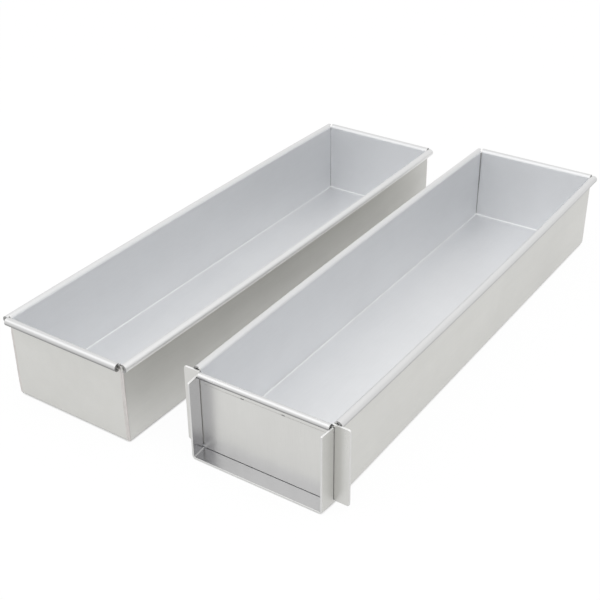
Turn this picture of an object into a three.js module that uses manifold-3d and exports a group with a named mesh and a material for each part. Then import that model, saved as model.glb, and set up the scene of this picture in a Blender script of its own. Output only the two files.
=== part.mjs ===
// A pair of long aluminium baking pans: one with four fixed walls, one whose near end is a lift-out gate.
// Each pan is one cross-shaped sheet, folded up, curled outwards into a hollow rim and welded at its corners.
// Millimetres, +Z up, +Y along the pans from the gate towards the fixed far ends.

import * as THREE from 'three';
import { mergeVertices } from 'three/addons/utils/BufferGeometryUtils.js';
import Module from 'manifold-3d';

// Both pans
const insideWidth = 101.6;      // between the side walls
const insideLength = 406.4;     // between the plain pan's end walls
const insideDepth = 63.5;       // from the floor up to the top of the rim
const sheet = 1.5;              // thickness of the pan's sheet
const foldRadius = 1.2;         // inside radius of the folds between floor and walls
const rimHollow = 3.0;          // clear diameter inside the rolled rim
const rimGap = 0.5;             // from the curled edge to the wall that it curls back to
const sideRimReach = 0.9;       // how far the side walls' rims run on past an end wall's outer face
const endRimSetback = 1.4;      // from each end of an end wall's rim out to the side wall's outer face
const nearRimShift = 1.1;       // how far the plain pan's near rim is rolled to the left of the middle
const weldRoot = 0.4;           // sheet that still meets at the inside of a corner, behind its weld metal
const weldGap = 0.1;            // between a corner's weld metal and the sheet edges beside it

// Open end of the gated pan
const lipDepth = 11.7;          // floor and side lips that run on past the slots
const lipDrop = 4.2;            // from the top of the rim down to the top of the lips
const lipToe = 1.1;             // how far the lips' front edges stand in from the line of the side walls
const gateSpare = 1.7;          // inside length, from the gate to the far wall, beyond the plain pan's
const slotSill = 2.3;           // wall left standing above the floor under each slot
const slotPlay = 0.7;           // slot width beyond the gate's thickness

// Gate
const gateSheet = 1.5;          // thickness of the gate's sheet
const gatePlay = 0.5;           // side clearance between the gate and the pan's walls
const seatGap = 0.3;            // running gap under and behind the seated gate
const earReach = 11.2;          // from the pan's outer face to the tip of an ear
const earDrop = 2.1;            // from the top of the rim down to the top of the ears
const earFoot = 3.6;            // from the underside of the pan up to the bottom of the ears
const earRound = 1.6;           // radius of the ears' outer corners
const earChamfer = 1.0;         // cut across the ears' inner bottom corners
const gateRollHollow = 1.6;     // clear diameter inside the gate's rolled top edge
const gateRollGap = 0.4;        // from the gate's curled edge back to its face
const gateRelief = 0.7;         // slit between the rolled top edge and each ear

// How the two pans stand beside each other
const panSpacing = 44.1;        // between the facing side walls, at the near end
const panStagger = 10.0;        // how far the plain pan stands nearer than the gated pan's open end
const panTurn = THREE.MathUtils.degToRad(-0.65);   // the loose plain pan stands turned by this, seen from above

// Fineness of the rounded stretches. The long and the short rims differ, so that their facets cross cleanly.
const foldSteps = 6;
const longRimStep = THREE.MathUtils.degToRad(16);
const shortRimStep = THREE.MathUtils.degToRad(13);
const gateStep = THREE.MathUtils.degToRad(15);

// Sizes that follow
const halfInside = insideWidth / 2;
const halfOutside = halfInside + sheet;
const rimTop = sheet + insideDepth;
const rimRadius = rimHollow / 2 + sheet;
const rimCentre = rimTop - rimRadius;
const rimFoot = rimCentre - sheet;
const foldOuter = foldRadius + sheet;
const weldDepth = sheet - weldRoot;
const weldFoot = foldOuter + weldRoot;
const weldTop = rimCentre - rimRadius - weldGap;
const plainLength = insideLength + 2 * sheet;

const slotWidth = gateSheet + slotPlay;
const slotFloor = sheet + slotSill;
const slotFront = lipDepth;
const slotRear = slotFront + slotWidth;
const slotMiddle = (slotFront + slotRear) / 2;
const lipTop = rimTop - lipDrop;
const gateRear = slotRear - seatGap;
const gatedLength = gateRear + insideLength + gateSpare + sheet;

const earTop = rimTop - earDrop;
const gateRollRadius = gateRollHollow / 2 + gateSheet;
const gateRollCentre = earTop - gateRollRadius;

const wasm = await Module();
wasm.setup();

// Solids and meshes

function closedBody(positions, triangles) {
  return new wasm.Manifold(new wasm.Mesh({
    numProp: 3,
    vertProperties: new Float32Array(positions),
    triVerts: new Uint32Array(triangles),
  }));
}

function solid(geometry) {
  geometry.deleteAttribute('normal');
  geometry.deleteAttribute('uv');
  const merged = mergeVertices(geometry);
  return closedBody(merged.attributes.position.array, merged.index.array);
}

// The same body taken as one, so that flat faces left in strips where its parts met close up at the next cut.
function fused(body) {
  const { vertProperties, triVerts } = body.getMesh();
  return closedBody(vertProperties, triVerts);
}

function satin(color, roughness) {
  return new THREE.MeshStandardMaterial({ color, roughness, metalness: 0.9 });
}

function piece(name, body, material) {
  const { vertProperties, triVerts } = body.getMesh();
  const geometry = new THREE.BufferGeometry();
  geometry.setAttribute('position', new THREE.BufferAttribute(vertProperties, 3));
  geometry.setIndex(new THREE.BufferAttribute(triVerts, 1));
  const faceted = geometry.toNonIndexed();
  faceted.computeVertexNormals();
  const mesh = new THREE.Mesh(faceted, material);
  mesh.name = name;
  return mesh;
}

// Outlines are lists of points [across, up]

function arc(across, up, radius, from, to, step) {
  const steps = Math.max(2, Math.ceil(Math.abs(to - from) / step));
  const points = [];
  for (let i = 0; i <= steps; i += 1) {
    const angle = from + ((to - from) * i) / steps;
    points.push([across + radius * Math.cos(angle), up + radius * Math.sin(angle)]);
  }
  return points;
}

// The top of a sheet that curls outwards into a hollow roll, from its foot up and round. Zero is its inner face.
function curledSheet(thickness, foot, centreHeight, hollow, gap, step) {
  const inner = hollow / 2;
  const outer = inner + thickness;
  const end = Math.acos((inner - gap) / outer) - Math.PI;
  return [
    [0, foot],
    [thickness, foot],
    ...arc(outer, centreHeight, inner, Math.PI, end, step),
    ...arc(outer, centreHeight, outer, end, Math.PI, step),
  ];
}

function mirrored(points) {
  return points.map(([across, up]) => [-across, up]).reverse();
}

// Extrusions

const alongX = new THREE.Matrix4().makeBasis(
  new THREE.Vector3(0, 1, 0), new THREE.Vector3(0, 0, 1), new THREE.Vector3(1, 0, 0));

function extrude(points, options) {
  const shape = new THREE.Shape(points.map(([across, up]) => new THREE.Vector2(across, up)));
  return new THREE.ExtrudeGeometry(shape, { bevelEnabled: false, ...options });
}

// Across the outline is X, and the extrusion runs along Y from start to end.
function runAlongY(points, start, end) {
  return solid(extrude(points, { depth: end - start }).rotateX(Math.PI / 2).translate(0, end, 0));
}

// Across the outline is Y, and the extrusion runs along X, as far to each side of the given middle.
function runAlongX(points, half, middle = 0) {
  return solid(extrude(points, { depth: 2 * half }).applyMatrix4(alongX).translate(middle - half, 0, 0));
}

function box(low, high) {
  const size = high.map((value, i) => value - low[i]);
  const middle = high.map((value, i) => (value + low[i]) / 2);
  return solid(new THREE.BoxGeometry(...size).translate(...middle));
}

// A block whose bottom edges are rounded, from the given height to above the rim. Its outline is seen from above.
function roundedBlock(outline, bottom, radius) {
  const rounding = {
    bevelEnabled: true,
    bevelThickness: radius,
    bevelSize: radius,
    bevelOffset: -radius,
    bevelSegments: foldSteps,
  };
  return solid(extrude(outline, { depth: rimTop, ...rounding }).translate(0, 0, bottom + radius));
}

// Parts of a pan

function straightSides(half, near, far) {
  return [[-half, near], [half, near], [half, far], [-half, far]];
}

// Sides that lean in towards the near end, from the middle of the slots on.
function leaningSides(half, near, far) {
  const nearHalf = half - (lipToe * (slotMiddle - near)) / slotMiddle;
  return [[-nearHalf, near], [nearHalf, near], [half, slotMiddle], [half, far], [-half, far], [-half, slotMiddle]];
}

// Floor and four walls up to where the rim starts to curl, between the given outer faces.
function tray(near, far, sides) {
  const outside = roundedBlock(sides(halfOutside, near, far), 0, foldOuter);
  const hollow = roundedBlock(sides(halfInside, near + sheet, far - sheet), sheet, foldRadius);
  const aboveWalls = box([-2 * halfOutside, near - sheet, rimCentre], [2 * halfOutside, far + sheet, 3 * rimTop]);
  return outside.subtract(hollow).subtract(aboveWalls);
}

// The rims of both side walls.
function sideRims(near, far) {
  const outline = curledSheet(sheet, rimFoot, rimCentre, rimHollow, rimGap, longRimStep)
    .map(([outwards, up]) => [halfInside + outwards, up]);
  return runAlongY(outline, near, far).add(runAlongY(mirrored(outline), near, far));
}

// The rim of one end wall, whose outer face is at y and looks towards the given side.
function endRim(y, side, middle) {
  const outline = curledSheet(sheet, rimFoot, rimCentre, rimHollow, rimGap, shortRimStep)
    .map(([outwards, up]) => [y + side * (outwards - sheet), up]);
  return runAlongX(outline, halfOutside - endRimSetback, middle);
}

// The groove that a corner's weld takes, above the fold and between the edges of an end wall and a side wall.
function weldGroove(sideX, y, sideY) {
  const xs = [sideX * (halfOutside - weldDepth), sideX * (halfOutside + weldDepth)];
  const ys = [y - sideY * weldDepth, y + sideY * weldDepth];
  return box(
    [Math.min(...xs), Math.min(...ys), weldFoot],
    [Math.max(...xs), Math.max(...ys), weldTop]);
}

// Weld metal: a vertical quarter round whose straight sides lie along the two walls' edges.
function cornerWeld(sideX, y, sideY) {
  const radius = weldDepth - weldGap;
  const quarter = [[0, 0], ...arc(0, 0, radius, 0, Math.PI / 2, Math.PI / 2 / foldSteps)];
  const outline = quarter.map(([out, along]) => [
    sideX * (halfOutside - radius + out),
    y + sideY * (along - radius),
  ]);
  const height = weldTop - weldFoot - 2 * weldGap;
  return solid(extrude(outline, { depth: height }).translate(0, 0, weldFoot + weldGap));
}

// Takes the weld grooves out of a pan's sheet, and gives the sheet and its welds as named pieces.
function weldedPan(name, sheetBody, corners, sheetMaterial, weldMaterial) {
  const group = new THREE.Group();
  let body = sheetBody;
  for (const { label, sideX, y, sideY } of corners) {
    body = body.subtract(weldGroove(sideX, y, sideY));
    group.add(piece(`${name}_weld_${label}`, cornerWeld(sideX, y, sideY), weldMaterial));
  }
  group.add(piece(`${name}_sheet`, body, sheetMaterial));
  return group;
}

// Plain pan, with the outer face of its near wall on y = 0

function plainPan(sheetMaterial, weldMaterial) {
  const body = fused(tray(0, plainLength, straightSides)
    .add(sideRims(-sideRimReach, plainLength + sideRimReach))
    .add(endRim(0, -1, -nearRimShift))
    .add(endRim(plainLength, 1, 0)));
  const corners = [
    { label: 'near_left', sideX: -1, y: 0, sideY: -1 },
    { label: 'near_right', sideX: 1, y: 0, sideY: -1 },
    { label: 'far_left', sideX: -1, y: plainLength, sideY: 1 },
    { label: 'far_right', sideX: 1, y: plainLength, sideY: 1 },
  ];
  return weldedPan('plain_pan', body, corners, sheetMaterial, weldMaterial);
}

// Gated pan, with the front edge of its floor and lips on y = 0

function gatedPan(sheetMaterial, weldMaterial) {
  const beyond = -2 * slotRear;
  const reach = 2 * halfOutside;
  const cutOpen = box([-reach, 2 * beyond, -sheet], [reach, 0, 2 * rimTop]);
  const aboveLips = box([-reach, 2 * beyond, lipTop], [reach, slotMiddle, 2 * rimTop]);

  // Each slot is open at the top and ends in a half round above the floor.
  const slotOutline = [
    ...arc(slotMiddle, slotFloor + slotWidth / 2, slotWidth / 2, -Math.PI, 0, gateStep),
    [slotRear, 2 * rimTop],
    [slotFront, 2 * rimTop],
  ];

  const body = fused(tray(beyond, gatedLength, leaningSides)
    .add(sideRims(slotMiddle, gatedLength + sideRimReach))
    .add(endRim(gatedLength, 1, 0)))
    .subtract(cutOpen)
    .subtract(aboveLips)
    .subtract(runAlongX(slotOutline, reach));
  const corners = [
    { label: 'far_left', sideX: -1, y: gatedLength, sideY: 1 },
    { label: 'far_right', sideX: 1, y: gatedLength, sideY: 1 },
  ];
  return weldedPan('gated_pan', body, corners, sheetMaterial, weldMaterial);
}

// Gate: a flat plate through both slots, with an ear outside each wall and a rolled top edge between the lips

function endGate(material) {
  const footInner = halfInside - gatePlay;
  const earInner = halfOutside + gatePlay;
  const earTip = halfOutside + earReach;
  const plateFoot = sheet + seatGap;
  const notchTop = slotFloor + slotWidth / 2;
  const quarter = Math.PI / 2;
  const half = [
    ...arc(footInner - foldRadius, plateFoot + foldRadius, foldRadius, -quarter, 0, gateStep),
    [footInner, notchTop],
    [earInner, notchTop],
    [earInner, earFoot + earChamfer],
    [earInner + earChamfer, earFoot],
    ...arc(earTip - earRound, earFoot + earRound, earRound, -quarter, 0, gateStep),
    ...arc(earTip - earRound, earTop - earRound, earRound, 0, quarter, gateStep),
    [halfInside, earTop],
    [halfInside, gateRollCentre],
  ];
  const plate = runAlongY([...half, ...mirrored(half)], gateRear - gateSheet, gateRear);

  const rollFoot = gateRollCentre - gateRollRadius;
  const rollOutline = curledSheet(gateSheet, rollFoot, gateRollCentre, gateRollHollow, gateRollGap, gateStep)
    .map(([forwards, up]) => [gateRear - forwards, up]);
  const roll = runAlongX(rollOutline, halfInside - gateRelief);
  return piece('end_gate', plate.add(roll), material);
}

// The set: both pans side by side on one surface, centred on the origin

const panMaterial = satin(0xc8cacc, 0.45);
const weldMaterial = satin(0xd0ccc6, 0.55);
const gateMaterial = satin(0xcbcac6, 0.45);

const gated = gatedPan(panMaterial, weldMaterial);
gated.add(endGate(gateMaterial));

const plain = plainPan(panMaterial, weldMaterial);
plain.position.set(-(2 * halfOutside + panSpacing), -panStagger, 0);
plain.rotation.z = panTurn;

const bakingPans = new THREE.Group();
bakingPans.add(gated, plain);

const bounds = new THREE.Box3().setFromObject(bakingPans);
const centre = bounds.getCenter(new THREE.Vector3());
bakingPans.position.set(-centre.x, -centre.y, -bounds.min.z);

export default bakingPans;
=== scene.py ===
import math
import random

import bmesh
import bpy
from mathutils import Matrix, Vector


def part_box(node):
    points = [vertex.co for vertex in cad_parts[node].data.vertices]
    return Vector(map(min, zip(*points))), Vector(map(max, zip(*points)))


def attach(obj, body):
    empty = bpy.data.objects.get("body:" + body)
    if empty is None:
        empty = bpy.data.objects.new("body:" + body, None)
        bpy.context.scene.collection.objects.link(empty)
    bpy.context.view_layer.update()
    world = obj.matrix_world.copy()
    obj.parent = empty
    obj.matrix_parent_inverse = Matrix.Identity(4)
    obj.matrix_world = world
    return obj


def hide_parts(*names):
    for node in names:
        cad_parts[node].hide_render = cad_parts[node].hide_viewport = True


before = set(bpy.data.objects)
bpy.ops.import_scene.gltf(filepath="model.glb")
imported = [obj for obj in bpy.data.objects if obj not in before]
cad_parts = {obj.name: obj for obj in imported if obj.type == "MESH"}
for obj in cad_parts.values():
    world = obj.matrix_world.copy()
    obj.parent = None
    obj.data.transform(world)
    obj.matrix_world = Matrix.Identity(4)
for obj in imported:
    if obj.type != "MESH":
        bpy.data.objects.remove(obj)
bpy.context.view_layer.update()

# Sizes in millimetres, the same as the CAD model's. Lengths along a pan count from its near edge.
MM = 0.001
HALF_INSIDE = 50.8
SHEET = 1.5
FOLD = 1.2
FOLD_OUTER = FOLD + SHEET
RIM_TOP = 65.0
RIM_HOLLOW = 1.5
RIM_RADIUS = RIM_HOLLOW + SHEET
RIM_CENTRE = RIM_TOP - RIM_RADIUS
RIM_GAP = 0.5
SIDE_RIM_REACH = 0.9
END_RIM_SETBACK = 1.4
END_RIM_HALF = HALF_INSIDE + SHEET - END_RIM_SETBACK
NEAR_RIM_SHIFT = 1.1
PLAIN_LENGTH = 409.4
GATED_LENGTH = 423.2
SLOT_FRONT = 11.7
SLOT_REAR = 13.9
SLOT_FLOOR = 3.8
SLOT_MIDDLE = (SLOT_FRONT + SLOT_REAR) / 2
SLOT_RADIUS = (SLOT_REAR - SLOT_FRONT) / 2
LIP_TOP = 60.8
LIP_TOE = 1.1
GATE_SHEET = 1.5
GATE_REAR = 13.6
GATE_PLAY = 0.5
GATE_FOOT = 1.8
EAR_TIP = 63.5
EAR_TOP = 62.9
EAR_FOOT = 3.6
EAR_ROUND = 1.6
EAR_CHAMFER = 1.0
GATE_HOLLOW = 0.8
GATE_ROLL = GATE_HOLLOW + GATE_SHEET
GATE_ROLL_CENTRE = EAR_TOP - GATE_ROLL
GATE_ROLL_GAP = 0.4
GATE_RELIEF = 0.7
PLAIN_TURN = math.radians(-0.65)

# Finish sizes in millimetres that only the looks have
EDGE_ROUND = 0.2
CORNER_CUT = 1.3
LIP_ROUND = 0.7
BOW = 1.7
FAR_LEAN = 1.2
LEAN_POWER = 12

# The pressed line across the gate, and the two short deeper marks in it
CREASE_DROP = 3.75
CREASE_HALF = 0.22
CREASE_DEPTH = 0.3
CREASE_SETBACK = 3
CREASE_TAPER = 1.5
MARKS = (-17.0, 14.5)
MARK_FLAT = 1.2
MARK_REACH = 1.5
MARK_HALF = 0.4
MARK_DEPTH = 0.6

# The weld strip over a corner's cut edge. Its smear on the end wall is given as [spread, height].
BEAD_FOOT = 0.3
BEAD_OVER = 0.5
BEAD_MARGIN = 0.05
BEAD_BULGE = 0.72
BEAD_SUNK = 0.2
BEAD_BACK = 0.5
BEAD_PULL = 0.55
BEAD_WANDER = 0.012
BEAD_STEADY = 0.8
SMEAR = ((0.3, 0.06), (0.9, 0.06), (1.35, 0.03), (1.45, -0.1))
FIRST_SEED = 11
DIAGONAL = 0.7071

# The weld's root inside a corner
ROOT_LEG = 0.5
ROOT_SUNK = 0.1
ROOT_FOOT = 0.4
ROOT_OVER = 0.6

# Steps of round forms, and the angles in degrees from which edges are rounded or sharp
FOLD_STEPS = 10
TURN_STEPS = 8
LATE_TURN_STEPS = 5
TUBE_STEPS = 32
ROUND_STEPS = 8
FOOT_STEPS = 6
EAR_STEPS = 10
BOW_CUTS = 16
BEAD_LEVELS = 60
BEAD_STEPS = 8
ROUNDED_ANGLE = 55
SHARP_ANGLE = 50
BEAD_SHARP_ANGLE = 70

# Places in a piece's list of materials
INSIDE, OUTSIDE, RIM, CUT, ROOT_AND_SHADE, APRON, FOLDED, TURN, SIDE_RIM = range(9)


# Mesh building

class Skin:
    """Faces given by their corner points, joined wherever the points coincide."""

    def __init__(self):
        self.bm = bmesh.new()
        self.known = {}

    def vert(self, point):
        key = tuple(round(c, 4) for c in point)
        if key not in self.known:
            self.known[key] = self.bm.verts.new(point)
        return self.known[key]

    def face(self, points, material):
        verts = []
        for point in points:
            vert = self.vert(point)
            if vert not in verts:
                verts.append(vert)
        if len(verts) < 3:
            return
        made = self.bm.faces.get(verts) or self.bm.faces.new(verts)
        made.material_index = material

    def strip(self, first, second, material):
        for i in range(len(first) - 1):
            self.face([first[i], first[i + 1], second[i + 1], second[i]], material)

    def bow(self, near, far, lean):
        """Long side walls swell outwards between the ends, and the far wall leans out, most at the rim."""
        bm = self.bm
        for i in range(1, BOW_CUTS):
            y = near + (far - near) * i / BOW_CUTS
            bmesh.ops.bisect_plane(bm, geom=bm.verts[:] + bm.edges[:] + bm.faces[:], dist=0.0001,
                                   plane_co=(0, y, 0), plane_no=(0, 1, 0))
        for vert in bm.verts:
            x, y, z = vert.co
            along = min(1, max(0, (y - near) / (far - near)))
            height = z / RIM_TOP
            aside = min(1, abs(x) / HALF_INSIDE)
            vert.co.x += math.copysign(BOW, x) * 4 * along * (1 - along) * height * aside
            vert.co.y += lean * along ** LEAN_POWER * height

    def finish(self, name, materials, placing, edge_round=EDGE_ROUND, sharp=SHARP_ANGLE, bowed=None):
        bm = self.bm
        bmesh.ops.recalc_face_normals(bm, faces=bm.faces)
        cut_edges = [
            e for e in bm.edges
            if len(e.link_faces) == 2
            and (e.link_faces[0].material_index == CUT) != (e.link_faces[1].material_index == CUT)
            and e.calc_face_angle(0) > math.radians(ROUNDED_ANGLE)
        ]
        if edge_round and cut_edges:
            bmesh.ops.bevel(bm, geom=cut_edges, offset=edge_round, offset_type='OFFSET', segments=2,
                            profile=0.5, affect='EDGES', clamp_overlap=False, material=CUT)
        if bowed:
            self.bow(*bowed)
        for e in bm.edges:
            e.smooth = e.calc_face_angle(0) < math.radians(sharp)
        for f in bm.faces:
            f.smooth = True
        bmesh.ops.transform(bm, matrix=placing @ Matrix.Scale(MM, 4), verts=bm.verts)
        mesh = bpy.data.meshes.new(name)
        bm.to_mesh(mesh)
        bm.free()
        for material in materials:
            mesh.materials.append(material)
        piece = bpy.data.objects.new(name, mesh)
        bpy.context.collection.objects.link(piece)
        flats = piece.modifiers.new("even_normals", 'WEIGHTED_NORMAL')
        flats.keep_sharp = True
        return piece


def arc(across, up, radius, start, end, steps):
    """Points round a centre, with angles in degrees."""
    points = []
    for i in range(steps + 1):
        angle = math.radians(start + (end - start) * i / steps)
        points.append((across + radius * math.cos(angle), up + radius * math.sin(angle)))
    return points


def curl(hollow, thickness, centre_up, gap):
    """Matching outer and inner points [outwards, up] of a sheet edge that turns over and curls outwards."""
    outer = hollow + thickness
    free = math.degrees(math.acos((hollow - gap) / outer)) - 180
    over = math.degrees(math.acos((thickness - outer) / outer))

    def layer(radius):
        return (arc(outer, centre_up, radius, 180, over, TURN_STEPS)
                + arc(outer, centre_up, radius, over, free, TUBE_STEPS)[1:])

    return layer(outer), layer(hollow)


def rolled_edge(skin, place, outside, inside, split, low, high, finish=RIM):
    """A curled edge along a wall, as long as the wall up to its point split, where the tube starts.
    low and high are the ends of the wall and of the tube."""
    count = len(outside)
    every = sorted({*low, *high})
    along_wall = [s for s in every if low[0] <= s <= high[0]]
    along_tube = [s for s in every if low[1] <= s <= high[1]]

    def at(points, j, s):
        return place(s, points[j][0], points[j][1])

    def row(points, j):
        return [at(points, j, s) for s in along_tube]

    for j in range(count - 1):
        a, b = (low[0], high[0]) if j < split else (low[1], high[1])
        # The start of a roll takes TURN, a darker copy of the inside: painted shade.
        skin_finish = INSIDE if j < split - LATE_TURN_STEPS else TURN if j < split else finish
        for points, material in ((outside, skin_finish), (inside, OUTSIDE)):
            if j < split:
                upper = along_wall if j == split - 1 else [a, b]
                skin.face([at(points, j, s) for s in (a, b)]
                          + [at(points, j + 1, s) for s in reversed(upper)], material)
            else:
                skin.strip(row(points, j), row(points, j + 1), material)
        # The cut ends of the tube are dark: painted shade for the hollow of the roll.
        for s in (a, b):
            skin.face([at(outside, j, s), at(outside, j + 1, s), at(inside, j + 1, s), at(inside, j, s)],
                      CUT if j < split else ROOT_AND_SHADE)
    for near, tube in (low, high):
        if near != tube:
            skin.face([at(outside, split, near), at(inside, split, near),
                       at(inside, split, tube), at(outside, split, tube)], CUT)
    skin.strip(row(outside, count - 1), row(inside, count - 1), CUT)


# The pans. Walls are placed by s along them, o outwards from the inner face, and z.

def fold_points(radius, up):
    """A quarter turn [o, z] from the floor into a wall."""
    angles = [math.radians(90 * i / FOLD_STEPS) for i in range(FOLD_STEPS + 1)]
    return [(radius * math.sin(a) - FOLD, up - radius * math.cos(a)) for a in angles]


inner_fold = fold_points(FOLD, SHEET + FOLD)
outer_fold = fold_points(FOLD_OUTER, FOLD_OUTER)
rim_outside, rim_inside = curl(RIM_HOLLOW, SHEET, RIM_CENTRE, RIM_GAP)


def corner(skin, wall_a, s_a, sign_a, wall_b, s_b, sign_b):
    """Where two walls meet: the cut outer edge up from the floor, and the small flat under the rims' ends."""
    def ends(o, z):
        return (wall_a(s_a + sign_a * (o - CORNER_CUT), o, z), wall_b(s_b + sign_b * (o - CORNER_CUT), o, z))

    levels = [ends(o, z) for o, z in outer_fold] + [ends(SHEET, RIM_CENTRE)]
    skin.strip([level[0] for level in levels], [level[1] for level in levels], OUTSIDE)
    top = levels[-1]
    skin.face([wall_a(s_a, 0, RIM_CENTRE), wall_a(s_a, SHEET, RIM_CENTRE), top[0], top[1],
               wall_b(s_b, SHEET, RIM_CENTRE)], CUT)


def folded_wall(skin, place, low, high, low_mitre=True, apron=None):
    """The fold under a wall: both skins, from one end to the other, parted where an apron ends."""
    def stations(o, cut):
        a = low - (o - cut) if low_mitre else low
        b = high + (o - cut)
        return [a, b] if apron is None else [a, apron, b]

    skins = ((inner_fold, 0, APRON, FOLDED), (outer_fold, CORNER_CUT, OUTSIDE, OUTSIDE))
    for points, cut, front, material in skins:
        for (o0, z0), (o1, z1) in zip(points, points[1:]):
            first = [place(s, o0, z0) for s in stations(o0, cut)]
            second = [place(s, o1, z1) for s in stations(o1, cut)]
            if apron is not None:
                skin.strip(first[:2], second[:2], front)
            skin.strip(first[-2:], second[-2:], material)


def full_wall(skin, place, low, high):
    """A wall between two corners, from its fold up to its rim."""
    spare = SHEET - CORNER_CUT
    skin.face([place(low, 0, FOLD_OUTER), place(high, 0, FOLD_OUTER),
               place(high, 0, RIM_CENTRE), place(low, 0, RIM_CENTRE)], INSIDE)
    skin.face([place(low - spare, SHEET, FOLD_OUTER), place(high + spare, SHEET, FOLD_OUTER),
               place(high + spare, SHEET, RIM_CENTRE), place(high, SHEET, RIM_CENTRE),
               place(low, SHEET, RIM_CENTRE), place(low - spare, SHEET, RIM_CENTRE)], OUTSIDE)


def pan_rim(skin, place, low, high, finish=RIM):
    rolled_edge(skin, place, rim_outside, rim_inside, TURN_STEPS, low, high, finish)


def plain_pan(placing, materials):
    near, far = SHEET, PLAIN_LENGTH - SHEET
    side = HALF_INSIDE
    lengthwise = ((near, -SIDE_RIM_REACH), (far, PLAIN_LENGTH + SIDE_RIM_REACH))
    walls = {
        'right': (lambda s, o, z: (side + o, s, z), lengthwise, SIDE_RIM),
        'left': (lambda s, o, z: (-side - o, s, z), lengthwise, SIDE_RIM),
        'near': (lambda s, o, z: (s, near - o, z),
                 ((-side, -END_RIM_HALF - NEAR_RIM_SHIFT), (side, END_RIM_HALF - NEAR_RIM_SHIFT)), RIM),
        'far': (lambda s, o, z: (s, far + o, z), ((-side, -END_RIM_HALF), (side, END_RIM_HALF)), RIM),
    }
    skin = Skin()
    for place, (low, high), finish in walls.values():
        folded_wall(skin, place, low[0], high[0])
        full_wall(skin, place, low[0], high[0])
        pan_rim(skin, place, low, high, finish)
    right, left, front, back = (walls[k][0] for k in ('right', 'left', 'near', 'far'))
    for x, sign, place in ((side, 1, right), (-side, -1, left)):
        corner(skin, place, near, -1, front, x, sign)
        corner(skin, place, far, 1, back, x, sign)
    x, y0, y1 = side - FOLD, near + FOLD, far - FOLD
    skin.face([(-x, y0, SHEET), (x, y0, SHEET), (x, y1, SHEET), (-x, y1, SHEET)], INSIDE)
    c = CORNER_CUT
    skin.face([(-x + c, y0, 0), (x - c, y0, 0), (x, y0 + c, 0), (x, y1 - c, 0),
               (x - c, y1, 0), (-x + c, y1, 0), (-x, y1 - c, 0), (-x, y0 + c, 0)], OUTSIDE)
    return skin.finish("plain_pan_body", materials, placing, bowed=(near, far, 0))


def gated_pan(placing, materials):
    far = GATED_LENGTH - SHEET
    side = HALF_INSIDE
    middle = SLOT_MIDDLE
    spare = SHEET - CORNER_CUT

    def toe(s):
        return LIP_TOE * max(0, middle - s) / middle

    def right(s, o, z):
        return (side + o - toe(s), s, z)

    def left(s, o, z):
        return (-side - o + toe(s), s, z)

    def back(s, o, z):
        return (s, far + o, z)

    # The free edge of a side wall, from the rim's start round the slot and lip to the fold at the front
    slot_up = SLOT_FLOOR + SLOT_RADIUS
    slot_rear = [(SLOT_REAR, RIM_CENTRE)] + arc(middle, slot_up, SLOT_RADIUS, 0, -90, ROUND_STEPS)
    slot_front = arc(middle, slot_up, SLOT_RADIUS, -90, -180, ROUND_STEPS) + [(SLOT_FRONT, LIP_TOP)]
    lip_edge = [(SLOT_FRONT, LIP_TOP)]
    lip_edge += arc(LIP_ROUND, LIP_TOP - LIP_ROUND, LIP_ROUND, 90, 180, ROUND_STEPS)
    lip_edge += [(0, FOLD_OUTER)]
    parting = [(middle, FOLD_OUTER)]

    skin = Skin()
    for sign, place in ((1, right), (-1, left)):
        folded_wall(skin, place, 0, far, low_mitre=False, apron=middle)
        for o, material in ((0, APRON), (SHEET, OUTSIDE)):
            skin.face([place(s, o, z) for s, z in slot_front + lip_edge[1:] + parting], material)
        skin.face([place(s, 0, z) for s, z in slot_rear + parting]
                  + [place(far, 0, FOLD_OUTER), place(far, 0, RIM_CENTRE)], INSIDE)
        skin.face([place(s, SHEET, z) for s, z in slot_rear + parting]
                  + [place(far + spare, SHEET, FOLD_OUTER), place(far + spare, SHEET, RIM_CENTRE),
                     place(far, SHEET, RIM_CENTRE)], OUTSIDE)
        # The slot's rear edge is dark: painted shade in the gap behind the gate.
        for edge, material in ((slot_rear, ROOT_AND_SHADE), (slot_front, CUT), (lip_edge, CUT)):
            skin.strip([place(s, 0, z) for s, z in edge], [place(s, SHEET, z) for s, z in edge], material)
        skin.strip([place(0, o, z) for o, z in inner_fold], [place(0, o, z) for o, z in outer_fold], CUT)
        pan_rim(skin, place, (SLOT_REAR, SLOT_REAR), (far, GATED_LENGTH + SIDE_RIM_REACH), SIDE_RIM)
        corner(skin, place, far, 1, back, sign * side, sign)
    folded_wall(skin, back, -side, side)
    full_wall(skin, back, -side, side)
    pan_rim(skin, back, (-side, -END_RIM_HALF), (side, END_RIM_HALF))
    x, y1 = side - FOLD, far - FOLD
    front = x - LIP_TOE
    c = CORNER_CUT
    for z, material in ((SHEET, APRON), (0, OUTSIDE)):
        skin.face([(-front, 0, z), (front, 0, z), (x, middle, z), (-x, middle, z)], material)
    skin.face([(-x, middle, SHEET), (x, middle, SHEET), (x, y1, SHEET), (-x, y1, SHEET)], INSIDE)
    skin.face([(-x, middle, 0), (x, middle, 0), (x, y1 - c, 0),
               (x - c, y1, 0), (-x + c, y1, 0), (-x, y1 - c, 0)], OUTSIDE)
    skin.face([(-front, 0, 0), (front, 0, 0), (front, 0, SHEET), (-front, 0, SHEET)], CUT)
    return skin.finish("gated_pan_body", materials, placing, bowed=(SLOT_REAR, far, FAR_LEAN))


# The gate: one plate with ears, a rolled top edge and a fine pressed line under the roll

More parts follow.
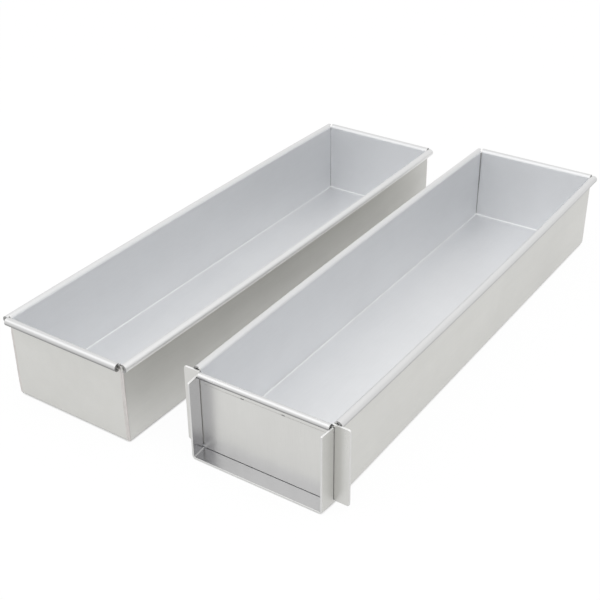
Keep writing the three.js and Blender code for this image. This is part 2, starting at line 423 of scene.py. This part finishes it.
def gate(placing, materials):
    foot = HALF_INSIDE - GATE_PLAY
    ear = HALF_INSIDE + SHEET + GATE_PLAY
    notch = SLOT_FLOOR + SLOT_RADIUS
    crease = GATE_ROLL_CENTRE - GATE_ROLL - CREASE_DROP
    roll_end = HALF_INSIDE - GATE_RELIEF
    front, rear = GATE_REAR - GATE_SHEET, GATE_REAR

    # The right half of the plate's outline, below and above the pressed line
    lower = arc(foot - FOLD, GATE_FOOT + FOLD, FOLD, -90, 0, FOOT_STEPS)
    lower += [(foot, notch), (ear, notch), (ear, EAR_FOOT + EAR_CHAMFER), (ear + EAR_CHAMFER, EAR_FOOT)]
    lower += arc(EAR_TIP - EAR_ROUND, EAR_FOOT + EAR_ROUND, EAR_ROUND, -90, 0, EAR_STEPS)
    lower += [(EAR_TIP, crease)]
    upper = [(EAR_TIP, crease)]
    upper += arc(EAR_TIP - EAR_ROUND, EAR_TOP - EAR_ROUND, EAR_ROUND, 0, 90, EAR_STEPS)
    upper += [(HALF_INSIDE, EAR_TOP), (HALF_INSIDE, GATE_ROLL_CENTRE), (roll_end, GATE_ROLL_CENTRE)]
    around = lower + upper[1:]

    def mirrored(points):
        return [(-x, z) for x, z in reversed(points)]

    def at_front(points):
        return [(x, front, z) for x, z in points]

    def at_rear(points):
        return [(x, rear, z) for x, z in points]

    end = HALF_INSIDE - CREASE_SETBACK
    stations = [-end, -end + CREASE_TAPER]
    for mark in MARKS:
        stations += [mark - MARK_REACH, mark - MARK_FLAT, mark + MARK_FLAT, mark + MARK_REACH]
    stations += [end - CREASE_TAPER, end]

    def in_mark(x):
        return any(abs(x - mark) < (MARK_FLAT + MARK_REACH) / 2 for mark in MARKS)

    def line(x):
        half, depth = (MARK_HALF, MARK_DEPTH) if in_mark(x) else (CREASE_HALF, CREASE_DEPTH)
        if abs(x) == end:
            half = depth = 0
        return ((x, front, crease + half), (x, front + depth, crease), (x, front, crease - half))

    skin = Skin()
    lines = [line(x) for x in stations]
    for i in range(len(stations) - 1):
        marked = in_mark(stations[i]) and in_mark(stations[i + 1])
        # The two marks take the same dark metal as the weld root.
        skin.strip(lines[i], lines[i + 1], ROOT_AND_SHADE if marked else OUTSIDE)
    skin.face(at_front(lower) + [p[2] for p in reversed(lines)] + at_front(mirrored(lower)), OUTSIDE)
    skin.face(at_front(upper) + at_front(mirrored(upper)) + [p[0] for p in lines], OUTSIDE)
    skin.face(at_rear(around) + at_rear(mirrored(around)), INSIDE)
    for half in (around, mirrored(around)):
        skin.strip(at_front(half), at_rear(half), CUT)
    bottom = [mirrored(around)[-1], around[0]]
    skin.strip(at_front(bottom), at_rear(bottom), CUT)
    outside, inside = curl(GATE_HOLLOW, GATE_SHEET, GATE_ROLL_CENTRE, GATE_ROLL_GAP)
    rolled_edge(skin, lambda s, o, z: (s, rear - o, z), outside, inside, 0,
                (-roll_end, -roll_end), (roll_end, roll_end))
    return skin.finish("gate_plate", materials, placing)


# Weld metal in a corner: a ground strip over the cut edge, smeared on to the end wall, and the root inside

def corner_bead(name, sign_x, y, sign_y, placing, materials, seed):
    draw = random.Random(seed)
    skin = Skin()
    outer = HALF_INSIDE + SHEET
    low, high = BEAD_FOOT, RIM_CENTRE + BEAD_OVER
    rings = []
    wander = 0
    for i in range(BEAD_LEVELS + 1):
        z = low + (high - low) * i / BEAD_LEVELS
        wander = BEAD_STEADY * wander + draw.uniform(-BEAD_WANDER, BEAD_WANDER)
        # Thinner towards the foot, and run out at the top
        close = min(1, 0.5 + 3 * i / BEAD_LEVELS, 6 * (BEAD_LEVELS - i) / BEAD_LEVELS)
        drop = max(0, FOLD_OUTER - z)
        sink = FOLD_OUTER - math.sqrt(FOLD_OUTER ** 2 - drop ** 2)
        pull = BEAD_PULL * sink
        ring = []
        for k in range(BEAD_STEPS + 1):
            t = BEAD_MARGIN + (1 - 2 * BEAD_MARGIN) * k / BEAD_STEPS
            bulge = (BEAD_BULGE + wander) * 4 * t * (1 - t) * close - BEAD_SUNK
            x = outer - CORNER_CUT * t + bulge * DIAGONAL
            along = CORNER_CUT * (1 - t) - bulge * DIAGONAL
            ring.append((sign_x * (x - pull), y - sign_y * (along + pull), z))
        for spread_x, proud in SMEAR:
            ring.append((sign_x * (outer - CORNER_CUT - spread_x - pull), y + sign_y * (proud - sink), z))
        ring.append((sign_x * (outer - CORNER_CUT - BEAD_BACK - pull), y - sign_y * (BEAD_BACK + pull), z))
        ring.append((sign_x * (outer - BEAD_BACK - pull), y - sign_y * (CORNER_CUT + BEAD_BACK + pull), z))
        rings.append(ring)
    for a, b in zip(rings, rings[1:]):
        skin.strip(a + a[:1], b + b[:1], 0)
    skin.face(rings[0], 0)
    skin.face(rings[-1], 0)

    face_x, face_y = HALF_INSIDE + ROOT_SUNK, y - sign_y * (SHEET - ROOT_SUNK)
    root = [(0, 0), (-ROOT_LEG, 0), (0, -ROOT_LEG)]
    ends = [[(sign_x * (face_x + a), face_y + sign_y * b, z) for a, b in root]
            for z in (SHEET + ROOT_FOOT, RIM_CENTRE + ROOT_OVER)]
    skin.strip(ends[0] + ends[0][:1], ends[1] + ends[1][:1], 1)
    skin.face(ends[0], 1)
    skin.face(ends[1], 1)
    return skin.finish(name, materials, placing, edge_round=0, sharp=BEAD_SHARP_ANGLE)


# Materials

ALONG_PANS = (1, 0.05, 1)
ACROSS_GATE = (1, 1, 0.05)

# Painted light and shade: how much a finish's colour is scaled by where it faces, from down (-1) to up (1).
# UNDER_FOLD paints shade under the bottom folds, ON_EDGE a highlight on up-facing cut edges, ROLLED and
# ROLLED_DARK shade under the rolled rims, and ROLLED_LIGHT lightens a rim's underside and darkens its top.
EVEN = ((-1, 1), (1, 1))
UNDER_FOLD = ((-0.8, 0.5), (-0.2, 1))
ON_EDGE = ((-1, 0.79), (0.2, 0.79), (0.8, 1))
ROLLED = ((-0.5, 0.36), (-0.25, 0.46), (0.0, 0.70), (0.3, 0.86), (0.6, 0.9), (1.0, 1.0))
ROLLED_DARK = ((-0.5, 0.3), (-0.25, 0.36), (0.0, 0.62), (0.3, 0.86), (0.6, 0.92), (1.0, 1.0))
ROLLED_LIGHT = ((-0.5, 0.98), (-0.05, 1.0), (0.25, 0.82), (1.0, 0.79))


def grey(value):
    return (value, value, value)


def node_tree(name):
    material = bpy.data.materials.new(name)
    material.use_nodes = True
    tree = material.node_tree
    return material, tree, tree.nodes["Principled BSDF"]


def add(tree, kind, **inputs):
    node = tree.nodes.new(kind)
    for key, value in inputs.items():
        node.inputs[key.replace("_", " ")].default_value = value
    return node


def ramp(tree, source, stops):
    node = tree.nodes.new("ShaderNodeValToRGB")
    tree.links.new(source, node.inputs["Fac"])
    elements = node.color_ramp.elements
    while len(elements) < len(stops):
        elements.new(0.5)
    for element, (position, colour) in zip(elements, stops):
        element.position = position
        element.color = (*colour, 1)
    return node.outputs["Color"]


def spread(tree, source, low, high, lowest=0.3, highest=0.7):
    node = add(tree, "ShaderNodeMapRange", From_Min=lowest, From_Max=highest, To_Min=low, To_Max=high)
    tree.links.new(source, node.inputs["Value"])
    return node.outputs["Result"]


def satin_aluminium(name, dark, light, rough, stretch=(1, 1, 1), grain=0.06, smear=0.05, light_and_shade_by_facing=EVEN):
    """Anodised sheet: a cloudy tone, a fine grain drawn out one way, and painted light and shade by how far it
    faces up.
    """
    material, tree, shader = node_tree(name)
    links = tree.links
    where = tree.nodes.new("ShaderNodeTexCoord").outputs["Object"]
    drawn = add(tree, "ShaderNodeMapping", Scale=stretch)
    links.new(where, drawn.inputs["Vector"])
    clouds = add(tree, "ShaderNodeTexNoise", Scale=16, Detail=5, Roughness=0.62)
    links.new(where, clouds.inputs["Vector"])
    fine = add(tree, "ShaderNodeTexNoise", Scale=1500, Detail=3, Roughness=0.6)
    links.new(drawn.outputs["Vector"], fine.inputs["Vector"])
    marks = add(tree, "ShaderNodeTexNoise", Scale=70, Detail=6, Roughness=0.7)
    links.new(drawn.outputs["Vector"], marks.inputs["Vector"])

    tone = add(tree, "ShaderNodeMix", Factor=0.35)
    tone.data_type = 'FLOAT'
    links.new(clouds.outputs["Fac"], tone.inputs["A"])
    links.new(fine.outputs["Fac"], tone.inputs["B"])
    facing = tree.nodes.new("ShaderNodeSeparateXYZ")
    links.new(tree.nodes.new("ShaderNodeNewGeometry").outputs["Normal"], facing.inputs[0])
    toned = tree.nodes.new("ShaderNodeVectorMath")
    toned.operation = 'SCALE'
    links.new(ramp(tree, tone.outputs["Result"], [(0.36, dark), (0.64, light)]), toned.inputs[0])
    # Painted light and shade: the colour is scaled by a ramp on the height of the normal
    upwards = spread(tree, facing.outputs["Z"], 0, 1, -1, 1)
    links.new(ramp(tree, upwards, [((z + 1) / 2, grey(t)) for z, t in light_and_shade_by_facing]), toned.inputs["Scale"])
    links.new(toned.outputs[0], shader.inputs["Base Color"])
    links.new(spread(tree, marks.outputs["Fac"], rough - smear, rough + smear), shader.inputs["Roughness"])
    shader.inputs["Metallic"].default_value = 1

    bump = add(tree, "ShaderNodeBump", Strength=grain, Distance=0.0002)
    links.new(fine.outputs["Fac"], bump.inputs["Height"])
    links.new(bump.outputs["Normal"], shader.inputs["Normal"])
    return material


def rolled_aluminium(name, dark, light, rough, light_and_shade_by_facing):
    """The smooth metal of a rolled edge, without grain."""
    return satin_aluminium(name, dark, light, rough, grain=0, smear=0.02, light_and_shade_by_facing=light_and_shade_by_facing)


def weld_metal(name, pit, dark, light):
    """Ground weld: mottled tone with a few dark pits, coarse uneven grinding."""
    material, tree, shader = node_tree(name)
    links = tree.links
    where = tree.nodes.new("ShaderNodeTexCoord").outputs["Object"]
    drawn = add(tree, "ShaderNodeMapping", Scale=(1, 1, 0.35))
    links.new(where, drawn.inputs["Vector"])
    mottle = add(tree, "ShaderNodeTexNoise", Scale=420, Detail=4, Roughness=0.65)
    links.new(drawn.outputs["Vector"], mottle.inputs["Vector"])
    colour = ramp(tree, mottle.outputs["Fac"], [(0.27, pit), (0.34, dark), (0.7, light)])
    links.new(colour, shader.inputs["Base Color"])
    links.new(spread(tree, mottle.outputs["Fac"], 0.4, 0.6), shader.inputs["Roughness"])
    shader.inputs["Metallic"].default_value = 1
    bump = add(tree, "ShaderNodeBump", Strength=0.15, Distance=0.0002)
    links.new(mottle.outputs["Fac"], bump.inputs["Height"])
    links.new(bump.outputs["Normal"], shader.inputs["Normal"])
    return material


# One anodised sheet in lighter and darker copies: pan_inside and gate_back are lighter, pan_outside and
# gate_front darker, and the difference is painted light and shade; their tints differ too. pan_outside is also
# shaded under its folds by UNDER_FOLD.
inside = satin_aluminium("pan_inside", (0.79, 0.798, 0.81), (0.82, 0.828, 0.84), 0.48, ALONG_PANS)
# pan_fold is a slightly darker copy of the inside: painted shade that dims the highlight along the inner
# folds.
fold = satin_aluminium("pan_fold", (0.78, 0.786, 0.793), (0.81, 0.816, 0.823), 0.47, ALONG_PANS, grain=0.02)
outside = satin_aluminium("pan_outside", (0.645, 0.643, 0.622), (0.677, 0.675, 0.653), 0.52, ALONG_PANS,
                          light_and_shade_by_facing=UNDER_FOLD)
# pan_apron is a much darker copy of the inside, on the apron floor and the lips' inner faces: painted shade in
# front of the gate.
apron = satin_aluminium("pan_apron", (0.58, 0.58, 0.595), (0.61, 0.61, 0.63), 0.25, ALONG_PANS,
                        grain=0, smear=0.01)
# sheet_edge takes ON_EDGE, so its colour is lighter only where an edge faces up: a painted highlight on the
# top edges.
cut = satin_aluminium("sheet_edge", (0.81, 0.81, 0.80), (0.88, 0.88, 0.87), 0.4, grain=0.05, light_and_shade_by_facing=ON_EDGE)
gate_front = satin_aluminium("gate_front", (0.63, 0.628, 0.61), (0.662, 0.66, 0.642), 0.31, ACROSS_GATE)
gate_back = satin_aluminium("gate_back", (0.78, 0.792, 0.80), (0.82, 0.832, 0.84), 0.48, ACROSS_GATE)
# The rims are copies of one rolled metal, made lighter or darker and shaded underneath by their ramps: painted
# light and shade. plain_rim is far lighter, with a lighter underside, as painted light on the plain pan's side
# rims that face the gap between the pans.
rim = rolled_aluminium("pan_rim", grey(0.70), grey(0.72), 0.3, ROLLED_DARK)
gated_rim = rolled_aluminium("gated_rim", grey(0.725), grey(0.745), 0.3, ROLLED)
plain_rim = rolled_aluminium("plain_rim", grey(0.92), grey(0.94), 0.55, ROLLED_LIGHT)
# rim_turn, at the start of each roll, is a darker copy of the inside: painted shade that dims the highlight
# there.
turn = rolled_aluminium("rim_turn", (0.70, 0.705, 0.71), (0.72, 0.725, 0.73), 0.42, EVEN)
gate_rim = rolled_aluminium("gate_rim", grey(0.72), grey(0.74), 0.28, ROLLED_DARK)
weld = weld_metal("corner_weld", (0.3, 0.285, 0.275), (0.57, 0.545, 0.53), (0.71, 0.68, 0.665))
# A dark metal for the weld root inside the corners, also used as painted shade on the slot's rear edges and
# the cut ends of the rolls, and on the gate's two marks.
root_and_shade = weld_metal("weld_root_and_painted_shade", grey(0.22), grey(0.26), (0.42, 0.42, 0.415))
pan_materials = [inside, outside, rim, cut, root_and_shade, apron, fold, turn]
gate_materials = [gate_back, gate_front, gate_rim, cut, root_and_shade]

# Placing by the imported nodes: the gated pan's near edge is its lowest y, the plain pan is centred on its box
gated_low, gated_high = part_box("gated_pan_sheet")
plain_low, plain_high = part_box("plain_pan_sheet")
gated_place = Matrix.Translation(((gated_low.x + gated_high.x) / 2, gated_low.y, 0))
plain_place = (Matrix.Translation(((plain_low.x + plain_high.x) / 2, (plain_low.y + plain_high.y) / 2, 0))
               @ Matrix.Rotation(PLAIN_TURN, 4, 'Z') @ Matrix.Translation((0, -PLAIN_LENGTH * MM / 2, 0)))


def settle(piece, body, slot, *nodes):
    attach(piece, body)
    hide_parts(*nodes)


settle(gated_pan(gated_place, pan_materials + [gated_rim]), "gated_pan", "pan_sheet", "gated_pan_sheet")
settle(plain_pan(plain_place, pan_materials + [plain_rim]), "plain_pan", "pan_sheet", "plain_pan_sheet")
settle(gate(gated_place, gate_materials), "end_gate", "gate_sheet", "end_gate")

beads = [
    ("plain_pan", "near_left", -1, 0, -1),
    ("plain_pan", "near_right", 1, 0, -1),
    ("plain_pan", "far_left", -1, PLAIN_LENGTH, 1),
    ("plain_pan", "far_right", 1, PLAIN_LENGTH, 1),
    ("gated_pan", "far_left", -1, GATED_LENGTH, 1),
    ("gated_pan", "far_right", 1, GATED_LENGTH, 1),
]
for number, (body, place, sign_x, y, sign_y) in enumerate(beads):
    placing = plain_place if body == "plain_pan" else gated_place
    bead = corner_bead(f"{body}_bead_{place}", sign_x, y, sign_y, placing, [weld, root_and_shade], FIRST_SEED + number)
    settle(bead, body, "corner_weld", f"{body}_weld_{place}")


# Stage, in metres

FLOOR_HALF = 6
FLOOR_DROP = 0.0003
CONTACT_SHADOW = 0.002
MIRRORED_WHITE = 0.7


def white_floor():
    """A floor that is white to the camera, with a thin shadow where the pans stand."""
    mesh = bpy.data.meshes.new("floor")
    square = ((-1, -1), (1, -1), (1, 1), (-1, 1))
    mesh.from_pydata([(x * FLOOR_HALF, y * FLOOR_HALF, -FLOOR_DROP) for x, y in square], [], [(0, 1, 2, 3)])
    floor = bpy.data.objects.new("floor", mesh)
    bpy.context.collection.objects.link(floor)
    material = bpy.data.materials.new("floor_white")
    material.use_nodes = True
    tree = material.node_tree
    tree.nodes.clear()
    output = tree.nodes.new("ShaderNodeOutputMaterial")
    paint = add(tree, "ShaderNodeBsdfDiffuse", Color=(0.93, 0.93, 0.93, 1))
    glow = add(tree, "ShaderNodeEmission", Color=(1, 1, 1, 1), Strength=1)
    mix = add(tree, "ShaderNodeMixShader")
    path = tree.nodes.new("ShaderNodeLightPath")
    clear = add(tree, "ShaderNodeAmbientOcclusion", Distance=CONTACT_SHADOW)
    clear.samples = 16
    links = tree.links

    def math_node(operation, first, second):
        node = tree.nodes.new("ShaderNodeMath")
        node.operation = operation
        for socket, value in zip(node.inputs, (first, second)):
            if isinstance(value, float):
                socket.default_value = value
            else:
                links.new(value, socket)
        return node.outputs[0]

    unshaded = spread(tree, clear.outputs["AO"], 0.1, 0.95, 0.05, 0.6)
    plain_white = math_node('MULTIPLY', path.outputs["Is Camera Ray"], unshaded)
    mirrored_white = math_node('MULTIPLY', path.outputs["Is Glossy Ray"], MIRRORED_WHITE)
    links.new(math_node('MAXIMUM', plain_white, mirrored_white), mix.inputs["Fac"])
    links.new(paint.outputs[0], mix.inputs[1])
    links.new(glow.outputs[0], mix.inputs[2])
    links.new(mix.outputs[0], output.inputs["Surface"])
    mesh.materials.append(material)


white_floor()

world = bpy.data.worlds.new("studio")
bpy.context.scene.world = world
world.use_nodes = True
background = world.node_tree.nodes["Background"]
background.inputs["Color"].default_value = (1, 1, 1, 1)
background.inputs["Strength"].default_value = 1


def softbox(name, place, size, power):
    """A square lamp, aimed at the origin."""
    lamp = bpy.data.lights.new(name, 'AREA')
    lamp.shape = 'RECTANGLE'
    lamp.size = lamp.size_y = size
    lamp.energy = power
    thing = bpy.data.objects.new(name, lamp)
    thing.location = place
    thing.rotation_euler = (-Vector(place)).to_track_quat('-Z', 'Y').to_euler()
    bpy.context.collection.objects.link(thing)


softbox("overhead", (0.3, -0.1, 1.35), 1.2, 3.0)
softbox("front_left", (-0.67, -0.88, 1.15), 1.4, 2.8)
softbox("right", (1.2, -0.1, 0.9), 1.2, 2.0)

# Camera at the photograph's station
AZIMUTH, ELEVATION, ROLL = (math.radians(v) for v in (-33.9287, 31.2063, -0.5267))
STATION = (0.41684, -0.66652, 0.48768)
SENSOR = 36
FOCAL_PIXELS = 1156.26
PHOTO_PIXELS = 600
forward = Vector((math.sin(AZIMUTH) * math.cos(ELEVATION), math.cos(AZIMUTH) * math.cos(ELEVATION),
                  -math.sin(ELEVATION)))
level = Vector((math.cos(AZIMUTH), -math.sin(AZIMUTH), 0))
upward = level.cross(forward)
right = math.cos(ROLL) * level + math.sin(ROLL) * upward
up = -math.sin(ROLL) * level + math.cos(ROLL) * upward
lens = bpy.data.cameras.new("camera")
lens.sensor_width = SENSOR
lens.sensor_fit = 'HORIZONTAL'
lens.lens = FOCAL_PIXELS / PHOTO_PIXELS * SENSOR
lens.clip_end = 50
camera = bpy.data.objects.new("camera", lens)
camera.matrix_world = Matrix((
    (right.x, up.x, -forward.x, STATION[0]),
    (right.y, up.y, -forward.y, STATION[1]),
    (right.z, up.z, -forward.z, STATION[2]),
    (0, 0, 0, 1),
))
bpy.context.collection.objects.link(camera)
bpy.context.scene.camera = camera
bpy.context.scene.view_settings.view_transform = 'Standard'
